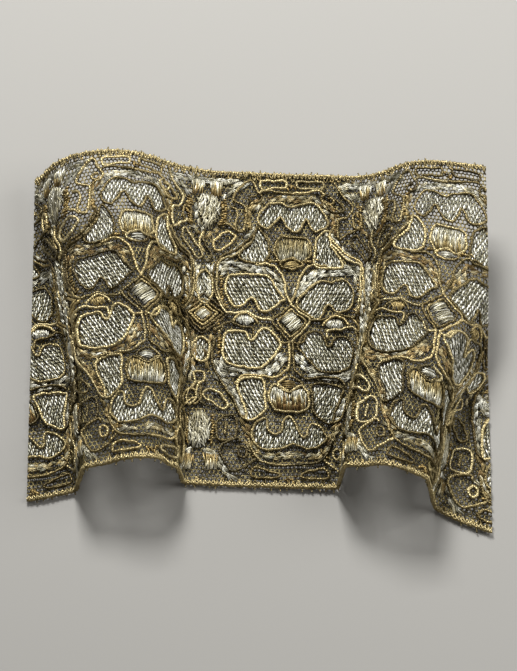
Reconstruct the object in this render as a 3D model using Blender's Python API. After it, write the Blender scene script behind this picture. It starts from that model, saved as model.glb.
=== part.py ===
"""Gilt and silver lace trim, a cut length of band lying in two soft waves.

The band runs along +X, its upper edge is towards +Y, and its three valleys rest on z = 0.
The lace is drawn flat, in u along the band and v across it, and then laid in its folds.
"""

import math

import bmesh
import bpy
import numpy as np

MM = 0.001

# Driving sizes
BAND_WIDTH = 99.6 * MM
BAND_LENGTH = 127.6 * MM
REPEAT = 49.84 * MM
MIDDLE_MOTIF_X = 8.96 * MM
BAND_CENTRE_Y = 6.07 * MM
SHEET_THICKNESS = 1.0 * MM
CORD_RADIUS = 0.3 * MM
EDGE_RADIUS = 0.8 * MM
PAD_THICKNESS = 0.7 * MM
SEAT_GAP = 0.3 * MM

# Heights above the middle of the sheet
CORD_HEIGHT = SHEET_THICKNESS / 2 + SEAT_GAP + CORD_RADIUS
PAD_HEIGHT = SHEET_THICKNESS / 2 + SEAT_GAP + PAD_THICKNESS / 2
EDGE_HEIGHT = 0.4 * MM

# Mesh sizes
CLOSING_ANGLES = (0.2, 1.75)
CLOSING_TRIES = 24
LEVEL = 1e-5
NORMAL_REACH = 0.25 * MM
SHEET_COLUMNS = 76
SHEET_ROWS = 17
TURN_WEIGHT = 5.0 * MM
EDGE_POINTS = 84

# The waves. Each row is one bend of the cloth, going right, in mm. Centre is where it lies along the flat
# cloth, cloth is the length that bends, held is the share of that length left once it is eased in, rise is
# how far it climbs, and corner is the share of the bend in each of its corners. A bend without a rise
# closes its wave down to the valley. Each cell has its value at the lower edge, the middle and the
# upper edge.
BEND_COLUMNS = ("centre", "cloth", "held", "rise", "corner")
EVEN = (1.0, 1.0, 1.0)
SOFT = (0.5, 0.5, 0.5)
TIGHT = (0.17, 0.24, 0.5)
LOWER_TIGHT = (0.4, 0.5, 0.5)
LEFT_WAVE = {
    "rise": ((-75.0, -74.9, -78.0), (15.8, 14.2, 30.0), (0.99, 1.0, 1.0), None, (0.15, 0.15, 0.5)),
    "crown": ((-60.6, -58.0, -61.0), (14.0, 20.0, 16.0), EVEN, (3.2, 4.2, 0.8), SOFT),
    "slope": ((-44.8, -47.0, -50.0), (12.6, 14.0, 17.0), (0.86, 1.0, 1.0), (-6.3, -1.0, 0.0), LOWER_TIGHT),
    "fall": ((-34.2, -37.2, -41.0), (12.9, 20.6, 44.0), (0.97, 1.0, 1.0), (-10.7, -15.8, -15.8), TIGHT),
}
RIGHT_WAVE = {
    "rise": ((20.2, 25.0, 31.5), (17.2, 14.4, 36.4), EVEN, (15.2, 12.5, 15.0), (0.14, 0.15, 0.5)),
    "crown": ((34.8, 40.6, 50.0), (12.0, 20.0, 24.0), (0.93, 1.0, 1.0), (3.2, 5.0, 2.2), SOFT),
    "slope": ((45.0, 48.0, 60.0), (10.0, 14.0, 16.0), (0.9, 1.0, 1.0), (-2.0, -0.4, 0.0), SOFT),
    "fall": ((60.2, 62.0, 84.0), (21.6, 22.8, 44.0), (0.86, 1.0, 1.0), None, (0.13, 0.26, 0.5)),
}
SECTION_BLEND = 0.2
LINE_SPREAD = 0.05
LINE_LEAN = 0.8

# How the band bows in plan, in mm: x, then the shift of the lower edge and of the upper edge there
BOW = (
    (-64.0, -4.2, -3.6),
    (-56.0, -2.6, -2.2),
    (-47.0, -0.2, -1.0),
    (-34.0, 1.2, 0.4),
    (-21.0, 1.3, 1.3),
    (-9.0, 0.6, 1.0),
    (9.0, 0.0, 0.0),
    (22.0, -0.3, -0.3),
    (34.0, -1.6, -1.6),
    (44.5, -4.2, -3.0),
    (52.0, -9.0, -4.6),
    (59.0, -12.0, -6.1),
    (66.0, -14.6, -7.8),
)
BOW_BLEND = 4.0
BLEND_SAMPLES = 9

# Cord outlines of one motif, (u from its middle line, v from the lower edge) in mm
MOTIF_OUTLINES = {
    "heart_upper_left": (
        (-17.4, 65.7), (-11.6, 66.2), (-7.2, 66.0), (-4.3, 62.2), (-1.9, 59.0), (-3.4, 57.8), (-6.4, 54.9),
        (-8.7, 54.9), (-10.0, 57.5), (-11.3, 58.7), (-12.4, 57.8), (-14.2, 55.8), (-16.5, 56.7), (-18.6, 61.6),
    ),
    "heart_upper_right": (
        (1.6, 57.3), (4.2, 61.3), (7.6, 64.8), (11.2, 64.6), (14.8, 65.6), (17.4, 63.4), (17.9, 60.8),
        (16.4, 56.7), (13.0, 54.8), (11.2, 56.7), (10.2, 57.5), (9.1, 54.9), (7.6, 52.6), (5.0, 53.8),
    ),
    "heart_lower_left": (
        (-18.7, 46.7), (-16.4, 48.1), (-12.8, 48.1), (-10.8, 45.4), (-8.1, 49.4), (-4.6, 47.4), (-2.8, 44.7),
        (-3.4, 42.7), (-7.5, 37.4), (-13.4, 36.8), (-17.5, 38.1), (-19.0, 41.4),
    ),
    "heart_lower_right": (
        (1.9, 44.7), (4.9, 48.1), (9.0, 48.1), (10.5, 44.1), (13.1, 47.4), (16.1, 46.8), (17.8, 43.4),
        (17.2, 39.4), (14.9, 36.8), (9.0, 36.1), (5.5, 38.8), (2.5, 42.7),
    ),
    "crown_upper": (
        (-9.5, 85.0), (-6.9, 89.1), (-3.3, 89.4), (-0.7, 88.1), (2.1, 89.1), (7.1, 89.5), (10.4, 84.7),
        (10.2, 82.4), (7.1, 80.8), (5.5, 82.1), (4.2, 85.0), (2.7, 82.1), (0.6, 80.4), (-1.7, 82.4),
        (-3.1, 85.1), (-5.1, 82.7), (-6.9, 81.2), (-9.0, 82.4),
    ),
    "crown_lower": (
        (-10.4, 16.8), (-9.3, 20.1), (-6.9, 21.2), (-5.7, 17.0), (-2.8, 16.8), (-1.6, 20.8), (-0.4, 22.0),
        (1.3, 20.1), (3.1, 16.2), (4.5, 16.4), (5.5, 19.8), (7.8, 19.5), (9.9, 16.2), (9.0, 14.2),
        (5.5, 12.2), (0.8, 13.5), (-2.8, 12.2), (-7.5, 11.8), (-9.9, 14.2),
    ),
    "block_upper": (
        (-3.3, 78.6), (-0.2, 78.7), (4.5, 78.3), (5.5, 75.1), (5.2, 72.7), (2.7, 70.7), (0.3, 72.0),
        (-2.8, 70.8), (-4.6, 73.3), (-4.6, 76.5),
    ),
    "block_lower": (
        (-5.7, 30.1), (-4.0, 31.8), (-0.4, 29.5), (2.5, 31.8), (4.6, 29.5), (4.6, 24.5), (-0.4, 23.3),
        (-4.6, 24.2), (-5.8, 26.8),
    ),
    "wedge_upper_left": (
        (-9.8, 81.3), (-7.7, 79.1), (-6.4, 75.6), (-6.9, 71.3), (-10.0, 70.0), (-13.9, 70.7), (-15.0, 72.7),
        (-11.3, 76.8),
    ),
    "wedge_upper_right": (
        (10.9, 81.0), (7.6, 78.9), (6.9, 75.1), (6.6, 69.6), (10.7, 69.1), (14.6, 69.5), (13.8, 72.5),
        (11.5, 76.2),
    ),
    "wedge_lower_left": (
        (-14.0, 33.1), (-7.8, 33.5), (-7.2, 28.1), (-7.4, 23.8), (-11.6, 20.4), (-12.5, 24.2), (-14.6, 30.1),
    ),
    "wedge_lower_right": (
        (6.2, 32.1), (14.3, 31.4), (13.7, 28.8), (12.0, 23.5), (10.8, 20.0), (6.6, 23.5), (6.0, 28.1),
    ),
}
MOTIFS = {"m1": -1, "m2": 0, "m3": 1}
EDGE_MOTIF = "m0"
EDGE_MOTIF_STEP = -2
EDGE_MOTIF_PARTS = ("heart_upper_right", "heart_lower_right", "wedge_upper_right", "wedge_lower_right")

# The padded satin bar at the middle of each motif, and what stands between two motifs
SATIN_BAR = {"u": 0.2, "v": 51.4, "length": 5.4, "width": 4.0, "turn": 40.0}
INTERVALS = {"i01": -1.5, "i12": -0.5, "i23": 0.5}
DIAMOND = {"v": 53.4, "half_width": 7.6, "half_height": 6.6}
SATIN_BLOBS = {
    "blob_upper": {"v": 85.8, "half_width": 3.2, "half_height": 5.0},
    "blob_lower": {"v": 18.0, "half_width": 3.2, "half_height": 5.4},
}
BLOB_SIDES = 14
CURVE_STEPS = 2

FINISHES = {
    "metal_net": ((0.30, 0.25, 0.14), 0.5, 0.7),
    "gilt_edge_cord": ((0.50, 0.38, 0.17), 0.4, 0.85),
    "gilt_cord": ((0.46, 0.36, 0.17), 0.4, 0.85),
    "silver_satin": ((0.62, 0.60, 0.52), 0.3, 0.9),
}


def clear_scene():
    for old in list(bpy.data.objects):
        bpy.data.objects.remove(old)


def across(values, t):
    """The value at t, 0 at the lower edge and 1 at the upper, eased through the middle one."""
    lower, middle, upper = values
    near = t + np.linspace(-SECTION_BLEND, SECTION_BLEND, BLEND_SAMPLES)
    below = lower + (middle - lower) * near * 2
    above = middle + (upper - middle) * (near * 2 - 1)
    return float(np.where(near < 0.5, below, above).mean())


def bend_shape(distance, corner):
    """1 along the straight of a bend, falling evenly to 0 over its two corners."""
    return np.clip((0.5 - np.abs(distance)) / corner, 0.0, 1.0)


def steepest_angle(length, rise, corner):
    """The angle on the straight of a bend that climbs this rise over this length."""
    shape = bend_shape(np.linspace(-0.5, 0.5, 401), corner)
    angles = np.linspace(0.0, math.pi / 2, 181)
    climbs = np.array([np.sin(angle * shape).mean() for angle in angles])
    return math.copysign(np.interp(abs(rise) / length, climbs, angles), rise)


class FoldedBand:
    """Places the flat lace in its folds, from a fine table of sections."""

    STEP = 0.1  # mm of cloth
    FIRST = -105.0
    LAST = 92.0
    SECTIONS = 41

    def __init__(self):
        self.u = np.arange(self.FIRST, self.LAST, self.STEP)
        self.t = np.linspace(0.0, 1.0, self.SECTIONS)
        sections = [self.section(t) for t in self.t]
        self.x = np.array([s[0] for s in sections])
        self.z = np.array([s[1] for s in sections])

    def bends_at(self, t, wave):
        """Each bend's columns at t, and the name of the one that closes the wave."""
        rows = {}
        for name, cells in wave.items():
            named = zip(BEND_COLUMNS, cells)
            rows[name] = {column: across(cell, t) for column, cell in named if cell is not None}
        closing = next(name for name in rows if "rise" not in rows[name])
        rows[closing]["rise"] = -sum(row["rise"] for row in rows.values() if "rise" in row)
        return rows, closing

    def path(self, rows, angles):
        """x and z along the section for the bends' angles."""
        slope = np.zeros_like(self.u)
        held = np.ones_like(self.u)
        for row, angle in zip(rows, angles):
            distance = (self.u - row["centre"]) / row["cloth"]
            slope += angle * bend_shape(distance, row["corner"])
            held = np.where(np.abs(distance) < 0.5, held * row["held"], held)
        steps = np.stack([held * np.cos(slope), held * np.sin(slope)])
        middle = (steps[:, 1:] + steps[:, :-1]) / 2 * self.STEP
        run = np.concatenate([np.zeros((2, 1)), np.cumsum(middle, axis=1)], axis=1)
        return run - run[:, [int(np.argmin(np.abs(self.u)))]]

    def section(self, t):
        """x and z along one section, each wave brought back exactly to the valley."""
        all_rows = []
        all_angles = []
        for wave, far, outward in ((LEFT_WAVE, 0, -1.0), (RIGHT_WAVE, -1, 1.0)):
            bends, closing = self.bends_at(t, wave)
            rows = list(bends.values())
            angles = [steepest_angle(row["cloth"] * row["held"], row["rise"], row["corner"]) for row in rows]
            k = list(bends).index(closing)
            sign = math.copysign(1.0, angles[k])
            low, high = CLOSING_ANGLES
            for _ in range(CLOSING_TRIES):
                angles[k] = sign * (low + high) / 2
                too_low = self.path(rows, angles)[1][far] * sign * outward < 0
                low, high = (abs(angles[k]), high) if too_low else (low, abs(angles[k]))
            all_rows += rows
            all_angles += angles
        x, z = self.path(all_rows, all_angles)
        lean = t - 0.5
        return x * (1 - LINE_SPREAD * lean) + LINE_LEAN * lean, z

    @staticmethod
    def between(table, i, j, a, b):
        below = table[i, j] * (1 - b) + table[i, j + 1] * b
        above = table[i + 1, j] * (1 - b) + table[i + 1, j + 1] * b
        return below * (1 - a) + above * a

    def place(self, u, v):
        """Points of the sheet's middle surface, in metres, for flat places in metres."""
        u = np.asarray(u, float) / MM
        t = np.clip(np.asarray(v, float) / BAND_WIDTH, 0.0, 1.0)
        column = np.clip((u - self.FIRST) / self.STEP, 0, len(self.u) - 1.001)
        row = np.clip(t * (self.SECTIONS - 1), 0, self.SECTIONS - 1.001)
        i, j = row.astype(int), column.astype(int)
        a, b = row - i, column - j
        x, z = (self.between(table, i, j, a, b) for table in (self.x, self.z))
        x = x + MIDDLE_MOTIF_X / MM
        along, lower, upper = np.array(BOW).T
        near = x[..., None] + np.linspace(-BOW_BLEND, BOW_BLEND, BLEND_SAMPLES)
        low_bow = np.interp(near, along, lower).mean(-1)
        high_bow = np.interp(near, along, upper).mean(-1)
        bow = low_bow * (1 - t) + high_bow * t
        y = (t - 0.5) * BAND_WIDTH / MM + bow + BAND_CENTRE_Y / MM
        z = np.where(np.abs(z) < LEVEL, 0.0, z) + SHEET_THICKNESS / 2 / MM
        return np.stack([x, y, z], axis=-1) * MM

    def lift(self, u, v, height):
        """Points this height above the sheet's middle, measured square to it."""
        u, v = np.asarray(u, float), np.asarray(v, float)
        near = NORMAL_REACH
        along = self.place(u + near, v) - self.place(u - near, v)
        over = self.place(u, np.minimum(v + near, BAND_WIDTH)) - self.place(u, np.maximum(v - near, 0.0))
        normal = np.cross(along, over)
        normal /= np.linalg.norm(normal, axis=-1, keepdims=True)
        return self.place(u, v) + normal * height

    def cut_row(self, v, count, end_inset=0.0):
        """Flat places along one line of the band, from cut end to cut end, closer where the cloth turns."""
        line = self.u * MM
        points = self.place(line, np.full_like(line, v))
        runs = np.diff(points, axis=0)
        heading = np.unwrap(np.arctan2(runs[:, 2], runs[:, 0]))
        turning = np.abs(np.diff(heading, append=heading[-1:]))
        weight = np.concatenate([[0.0], np.cumsum(np.linalg.norm(runs, axis=1) + TURN_WEIGHT * turning)])
        half = BAND_LENGTH / 2 - end_inset
        inside = np.nonzero(np.abs(points[:, 0]) < half)[0]
        ends = []
        for inner, outer in ((inside[0], inside[0] - 1), (inside[-1], inside[-1] + 1)):
            span = points[outer, 0] - points[inner, 0]
            share = (math.copysign(half, points[inner, 0]) - points[inner, 0]) / span
            ends.append(inner + (outer - inner) * share)
        first, last = (np.interp(e, np.arange(len(weight)), weight) for e in ends)
        places = np.interp(np.linspace(first, last, count), weight, line)
        places[0], places[-1] = (np.interp(e, np.arange(len(line)), line) for e in ends)
        return places


def finish(name):
    """The material of this name, made once."""
    found = bpy.data.materials.get(name)
    if found:
        return found
    colour, roughness, metallic = FINISHES[name]
    made = bpy.data.materials.new(name)
    made.use_nodes = True
    shader = made.node_tree.nodes["Principled BSDF"]
    shader.inputs["Base Color"].default_value = (*colour, 1.0)
    shader.inputs["Roughness"].default_value = roughness
    shader.inputs["Metallic"].default_value = metallic
    return made


def add_object(name, data, material):
    made = bpy.data.objects.new(name, data)
    data.materials.append(finish(material))
    bpy.context.scene.collection.objects.link(made)
    return made


def make_net_band(band):
    """The whole sheet between the edgings: a grid laid in the folds, with its thickness added."""
    inset = 2 * EDGE_RADIUS + SEAT_GAP
    rows = np.linspace(inset, BAND_WIDTH - inset, SHEET_ROWS)
    mesh = bmesh.new()
    bmesh.ops.create_grid(mesh, x_segments=SHEET_COLUMNS - 1, y_segments=SHEET_ROWS - 1, size=1.0)
    mesh.verts.ensure_lookup_table()
    flat = np.array([v.co[:2] for v in mesh.verts])
    column = np.rint((flat[:, 0] + 1) / 2 * (SHEET_COLUMNS - 1)).astype(int)
    row = np.rint((flat[:, 1] + 1) / 2 * (SHEET_ROWS - 1)).astype(int)
    lines = np.array([band.cut_row(v, SHEET_COLUMNS) for v in rows])
    places = band.place(lines[row, column], rows[row])
    for vert, place in zip(mesh.verts, places):
        vert.co = place
    data = bpy.data.meshes.new("net_band")
    mesh.to_mesh(data)
    mesh.free()
    sheet = add_object("net_band", data, "metal_net")
    solid = sheet.modifiers.new("thickness", "SOLIDIFY")
    solid.thickness = SHEET_THICKNESS
    solid.offset = 0.0
    solid.use_even_offset = False


def cord(name, points, radius, material, closed=True, resolution=0):
    """A round cord along these points."""
    data = bpy.data.curves.new(name, "CURVE")
    data.dimensions = "3D"
    spline = data.splines.new("POLY")
    spline.points.add(len(points) - 1)
    for node, point in zip(spline.points, points):
        node.co = (*point, 1.0)
    spline.use_cyclic_u = closed
    data.bevel_depth = radius
    data.bevel_resolution = resolution
    data.use_fill_caps = not closed
    return add_object(name, data, material)


def make_edgings(band):
    """The round cord sewn along each long edge."""
    for name, v in (("lower_edging", EDGE_RADIUS), ("upper_edging", BAND_WIDTH - EDGE_RADIUS)):
        line = band.cut_row(v, EDGE_POINTS, end_inset=EDGE_RADIUS)
        points = band.lift(line, np.full_like(line, v), EDGE_HEIGHT)
        cord(name, points, EDGE_RADIUS, "gilt_edge_cord", closed=False, resolution=1)


def smooth_loop(corners):
    """A closed curve through these flat places."""
    p = np.array(corners, float)
    before, after, later = np.roll(p, 1, 0), np.roll(p, -1, 0), np.roll(p, -2, 0)
    loop = []
    for k in range(len(p)):
        for s in np.arange(CURVE_STEPS) / CURVE_STEPS:
            near = 2 * p[k] + (after[k] - before[k]) * s
            bend = (2 * before[k] - 5 * p[k] + 4 * after[k] - later[k]) * s**2
            far = (3 * p[k] - before[k] - 3 * after[k] + later[k]) * s**3
            loop.append((near + bend + far) / 2)
    return np.array(loop)


def outline(band, name, corners, middle_u):
    """One couched cord round a figure, lying just above the sheet and cut off with it at its ends."""
    loop = smooth_loop(corners) * MM
    points = band.lift(loop[:, 0] + middle_u, loop[:, 1], CORD_HEIGHT)
    inside = np.abs(points[:, 0]) < BAND_LENGTH / 2 - CORD_RADIUS
    whole = bool(inside.all())
    if not whole:
        last_out = int(np.nonzero(~inside & np.roll(inside, -1))[0][0])
        points, inside = (np.roll(a, -last_out - 1, axis=0) for a in (points, inside))
        points = points[: int(np.argmin(inside))]
    cord(name, points, CORD_RADIUS, "gilt_cord", closed=whole)


def pad(band, name, rim, middle_u):
    """A padded satin figure with a flat rim, lying just above the sheet."""
    rim = np.array(rim, float) * MM
    u, v = rim[:, 0] + middle_u, rim[:, 1]
    low = band.lift(u, v, PAD_HEIGHT - PAD_THICKNESS / 2)
    high = band.lift(u, v, PAD_HEIGHT)
    crown = band.lift([u.mean()], [v.mean()], PAD_HEIGHT + PAD_THICKNESS / 2)
    base = band.lift([u.mean()], [v.mean()], PAD_HEIGHT - PAD_THICKNESS / 2)
    mesh = bmesh.new()
    rings = [[mesh.verts.new(p) for p in ring] for ring in (low, high)]
    top, bottom = mesh.verts.new(crown[0]), mesh.verts.new(base[0])
    count = len(rim)
    for k in range(count):
        n = (k + 1) % count
        mesh.faces.new((rings[0][k], rings[0][n], rings[1][n], rings[1][k]))
        mesh.faces.new((rings[1][k], rings[1][n], top))
        mesh.faces.new((rings[0][n], rings[0][k], bottom))
    bmesh.ops.recalc_face_normals(mesh, faces=mesh.faces)
    data = bpy.data.meshes.new(name)
    mesh.to_mesh(data)
    mesh.free()
    add_object(name, data, "silver_satin")


def make_motifs(band):
    for motif, step in MOTIFS.items():
        for part, corners in MOTIF_OUTLINES.items():
            outline(band, f"{part}_{motif}", corners, step * REPEAT)
        bar = SATIN_BAR
        turn = math.radians(bar["turn"])
        rim = []
        for a, b in ((-1, -1), (0, -1), (1, -1), (1, 1), (0, 1), (-1, 1)):
            p, q = a * bar["width"] / 2, b * bar["length"] / 2
            across_u = p * math.cos(turn) + q * math.sin(turn)
            across_v = p * math.sin(turn) - q * math.cos(turn)
            rim.append((bar["u"] + across_u, bar["v"] + across_v))
        pad(band, f"satin_bar_{motif}", rim, step * REPEAT)
    for part in EDGE_MOTIF_PARTS:
        outline(band, f"{part}_{EDGE_MOTIF}", MOTIF_OUTLINES[part], EDGE_MOTIF_STEP * REPEAT)


def make_intervals(band):
    for interval, step in INTERVALS.items():
        d = DIAMOND
        corners = []
        for a, b in ((1, 0), (0.5, 0.5), (0, 1), (-0.5, 0.5), (-1, 0), (-0.5, -0.5), (0, -1), (0.5, -0.5)):
            corners.append((a * d["half_width"], d["v"] + b * d["half_height"]))
        outline(band, f"diamond_{interval}", corners, step * REPEAT)
        for part, blob in SATIN_BLOBS.items():
            rim = []
            for turn in np.arange(BLOB_SIDES) * 2 * math.pi / BLOB_SIDES:
                a, b = blob["half_width"] * math.cos(turn), blob["half_height"] * math.sin(turn)
                rim.append((a, blob["v"] + b))
            pad(band, f"{part}_{interval}", rim, step * REPEAT)


def main():
    clear_scene()
    band = FoldedBand()
    make_net_band(band)
    make_edgings(band)
    make_motifs(band)
    make_intervals(band)


main()
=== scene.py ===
import math

import bmesh
import bpy
import numpy as np
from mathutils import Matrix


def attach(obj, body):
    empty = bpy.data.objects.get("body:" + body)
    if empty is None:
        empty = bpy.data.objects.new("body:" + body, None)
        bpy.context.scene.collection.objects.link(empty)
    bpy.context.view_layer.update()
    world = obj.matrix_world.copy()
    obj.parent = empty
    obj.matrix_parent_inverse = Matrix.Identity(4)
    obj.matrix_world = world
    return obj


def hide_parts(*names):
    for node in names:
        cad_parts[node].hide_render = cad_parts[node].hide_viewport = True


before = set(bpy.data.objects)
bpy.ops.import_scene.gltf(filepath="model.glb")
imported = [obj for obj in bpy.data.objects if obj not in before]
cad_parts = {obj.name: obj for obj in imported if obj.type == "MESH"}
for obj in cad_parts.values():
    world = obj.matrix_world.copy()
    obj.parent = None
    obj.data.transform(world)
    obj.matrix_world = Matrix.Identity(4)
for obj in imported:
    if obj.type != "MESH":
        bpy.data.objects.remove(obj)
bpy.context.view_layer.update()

# Gilt and silver lace trim. All of it is drawn flat, in mm: u along the band from the middle motif's line,
# v across it from the lower edge, h above the middle of the cloth. Then it is laid in the band's two waves.
mm = 0.001
band = {
    "width": 99.6,
    "length": 127.6,
    "repeat": 49.84,
    "middleMotifX": 8.96,
    "centreY": 6.07,
    "netThickness": 1.0,
    "firstU": -105.0,
    "lastU": 92.0,
    "step": 0.1,
    "sections": 41,
}
dice = np.random.default_rng(11)


# the folds are those of the CAD solids
even = (1, 1, 1)
soft = (0.5, 0.5, 0.5)
tight = (0.17, 0.24, 0.5)
# each bend of a wave, at the lower edge, the middle and the upper edge: its centre, its cloth, the share
# held, its rise (none where it closes the wave) and its corners' share
waves = {
    "left": {
        "rise": ((-75, -74.9, -78), (15.8, 14.2, 30), (0.99, 1, 1), None, (0.15, 0.15, 0.5)),
        "crown": ((-60.6, -58, -61), (14, 20, 16), even, (3.2, 4.2, 0.8), soft),
        "slope": ((-44.8, -47, -50), (12.6, 14, 17), (0.86, 1, 1), (-6.3, -1, 0), (0.4, 0.5, 0.5)),
        "fall": ((-34.2, -37.2, -41), (12.9, 20.6, 44), (0.97, 1, 1), (-10.7, -15.8, -15.8), tight),
    },
    "right": {
        "rise": ((20.2, 25, 31.5), (17.2, 14.4, 36.4), even, (15.2, 12.5, 15), (0.14, 0.15, 0.5)),
        "crown": ((34.8, 40.6, 50), (12, 20, 24), (0.93, 1, 1), (3.2, 5, 2.2), soft),
        "slope": ((45, 48, 60), (10, 14, 16), (0.9, 1, 1), (-2, -0.4, 0), soft),
        "fall": ((60.2, 62, 84), (21.6, 22.8, 44), (0.86, 1, 1), None, (0.13, 0.26, 0.5)),
    },
}
# lace taken up in the two outer flanks: from and to along the drawing, the shift beyond, and between which v
tucks = (
    {"from": -67, "to": -84, "shift": 7, "fullBelow": 14, "noneAbove": 42},
    {"from": 60, "to": 73, "shift": -8.5, "fullBelow": 24, "noneAbove": 54},
)
# how far along the band the ornament is drawn, beyond both cut ends
drawn = {"from": -108, "to": 97}
# how the band bows in plan: x, shift of the lower edge, shift of the upper edge
bow = (
    (-64, -4.2, -3.6), (-56, -2.6, -2.2), (-47, -0.2, -1), (-34, 1.2, 0.4), (-21, 1.3, 1.3),
    (-9, 0.6, 1), (9, 0, 0), (22, -0.3, -0.3), (34, -1.6, -1.6), (44.5, -4.2, -3),
    (52, -9, -4.6), (59, -12, -6.1), (66, -14.6, -7.8),
)


def across(values, t):
    lower, middle, upper = values
    near = t + np.linspace(-0.2, 0.2, 9)
    below = lower + (middle - lower) * near * 2
    above = middle + (upper - middle) * (near * 2 - 1)
    return float(np.where(near < 0.5, below, above).mean())


def bendShape(distance, corner):
    return np.clip((0.5 - np.abs(distance)) / corner, 0.0, 1.0)


def steepestAngle(length, rise, corner):
    shape = bendShape(np.linspace(-0.5, 0.5, 401), corner)
    angles = np.linspace(0.0, math.pi / 2, 181)
    climbs = np.array([np.sin(angle * shape).mean() for angle in angles])
    return math.copysign(np.interp(abs(rise) / length, climbs, angles), rise)


def bendsAt(t, wave):
    rows = {}
    for name, cells in wave.items():
        named = zip(("centre", "cloth", "held", "rise", "corner"), cells)
        rows[name] = {column: across(cell, t) for column, cell in named if cell is not None}
    closing = next(name for name in rows if "rise" not in rows[name])
    rows[closing]["rise"] = -sum(row["rise"] for row in rows.values() if "rise" in row)
    return rows, closing


def sectionPath(uLine, rows, angles):
    slope = np.zeros_like(uLine)
    held = np.ones_like(uLine)
    for row, angle in zip(rows, angles):
        distance = (uLine - row["centre"]) / row["cloth"]
        slope += angle * bendShape(distance, row["corner"])
        held = np.where(np.abs(distance) < 0.5, held * row["held"], held)
    steps = np.stack([held * np.cos(slope), held * np.sin(slope)])
    middle = (steps[:, 1:] + steps[:, :-1]) / 2 * band["step"]
    run = np.concatenate([np.zeros((2, 1)), np.cumsum(middle, axis=1)], axis=1)
    return run - run[:, [int(np.argmin(np.abs(uLine)))]]


def sectionAt(uLine, t):
    allRows, allAngles = [], []
    for wave, far, outward in ((waves["left"], 0, -1.0), (waves["right"], -1, 1.0)):
        bends, closing = bendsAt(t, wave)
        rows = list(bends.values())
        angles = [steepestAngle(row["cloth"] * row["held"], row["rise"], row["corner"]) for row in rows]
        k = list(bends).index(closing)
        sign = math.copysign(1.0, angles[k])
        low, high = 0.2, 1.75
        for _ in range(24):  # the closing bend comes back exactly to the valley
            angles[k] = sign * (low + high) / 2
            tooLow = sectionPath(uLine, rows, angles)[1][far] * sign * outward < 0
            low, high = (abs(angles[k]), high) if tooLow else (low, abs(angles[k]))
        allRows += rows
        allAngles += angles
    x, z = sectionPath(uLine, allRows, allAngles)
    return x * (1 - 0.05 * (t - 0.5)) + 0.8 * (t - 0.5), z


uLine = np.arange(band["firstU"], band["lastU"], band["step"])
foldX, foldZ = (
    np.array(table) for table in zip(*[sectionAt(uLine, t) for t in np.linspace(0, 1, band["sections"])])
)
bowX = np.linspace(-90.0, 90.0, 1801)
bowAlong, bowLower, bowUpper = np.array(bow).T
bowNear = bowX[:, None] + np.linspace(-4.0, 4.0, 9)
bowLow = np.interp(bowNear, bowAlong, bowLower).mean(-1)
bowHigh = np.interp(bowNear, bowAlong, bowUpper).mean(-1)


def place(u, v):
    # the cloth's middle surface, in mm
    t = v / band["width"]
    column = np.clip((u - band["firstU"]) / band["step"], 0, len(uLine) - 1.001)
    row = np.clip(t * (band["sections"] - 1), 0, band["sections"] - 1.001)
    i, j = row.astype(int), column.astype(int)
    a, b = row - i, column - j
    x, z = (
        (table[i, j] * (1 - b) + table[i, j + 1] * b) * (1 - a)
        + (table[i + 1, j] * (1 - b) + table[i + 1, j + 1] * b) * a
        for table in (foldX, foldZ)
    )
    x = x + band["middleMotifX"]
    bowHere = np.interp(x, bowX, bowLow) * (1 - t) + np.interp(x, bowX, bowHigh) * t
    y = (t - 0.5) * band["width"] + bowHere + band["centreY"]
    return np.stack([x, y, np.maximum(z, 0.0) + band["netThickness"] / 2], axis=-1)


def tucked(u, v):
    # from the drawing's u to the folds' u: the outer flanks take up more lace at their feet
    moved = np.array(u, float)
    for tuck in tucks:
        along = np.clip((u - tuck["from"]) / (tuck["to"] - tuck["from"]), 0.0, 1.0)
        down = np.clip((tuck["noneAbove"] - v) / (tuck["noneAbove"] - tuck["fullBelow"]), 0.0, 1.0)
        moved += tuck["shift"] * along * down
    return moved


def lay(flat):
    # flat points (u, v, h) in mm to places in the folds, with the small drift of hand-laid work
    u, v, h = np.asarray(flat, float).T
    u = tucked(u, v)
    drift = 0.14 * np.sin(0.31 * u + 0.17 * v) + 0.11 * np.sin(0.13 * u - 0.47 * v + 1.0)
    lift = 0.12 * np.sin(0.23 * u - 0.29 * v + 2.0) + 0.1 * np.sin(0.53 * u + 0.11 * v)
    edge = np.clip(np.minimum(v, band["width"] - v) / 6.0, 0.0, 1.0)
    u, v = u + drift * edge, v + lift * edge
    along = place(u + 0.25, v) - place(u - 0.25, v)
    over = place(u, v + 0.25) - place(u, v - 0.25)
    normal = np.cross(along, over)
    normal /= np.maximum(np.linalg.norm(normal, axis=-1, keepdims=True), 1e-9)
    return place(u, v) + normal * h[:, None]


print("folds ready")


def toLinear(hexColour):
    parts = [int(hexColour[k : k + 2], 16) / 255 for k in (1, 3, 5)]
    return (*[c / 12.92 if c <= 0.04045 else ((c + 0.055) / 1.055) ** 2.4 for c in parts], 1.0)


def pick(sockets, name):
    if isinstance(name, int):
        return sockets[name]
    return next(s for s in sockets if s.name == name and s.enabled)


def addNode(tree, kind, inputs=None, output=0, **settings):
    # adds a node, sets or links its inputs, and returns the output asked for
    node = tree.nodes.new(kind)
    for name, value in settings.items():
        setattr(node, name, value)
    for name, value in (inputs or {}).items():
        socket = pick(node.inputs, name)
        if isinstance(value, bpy.types.NodeSocket):
            tree.links.new(value, socket)
        else:
            socket.default_value = value
    return pick(node.outputs, output) if len(node.outputs) else None


def setRamp(colour, stops):
    ramp = colour.node.color_ramp
    while len(ramp.elements) < len(stops):
        ramp.elements.new(0.5)
    for element, (position, stop) in zip(ramp.elements, stops):
        element.position = position
        element.color = toLinear(stop)
    return colour


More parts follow.
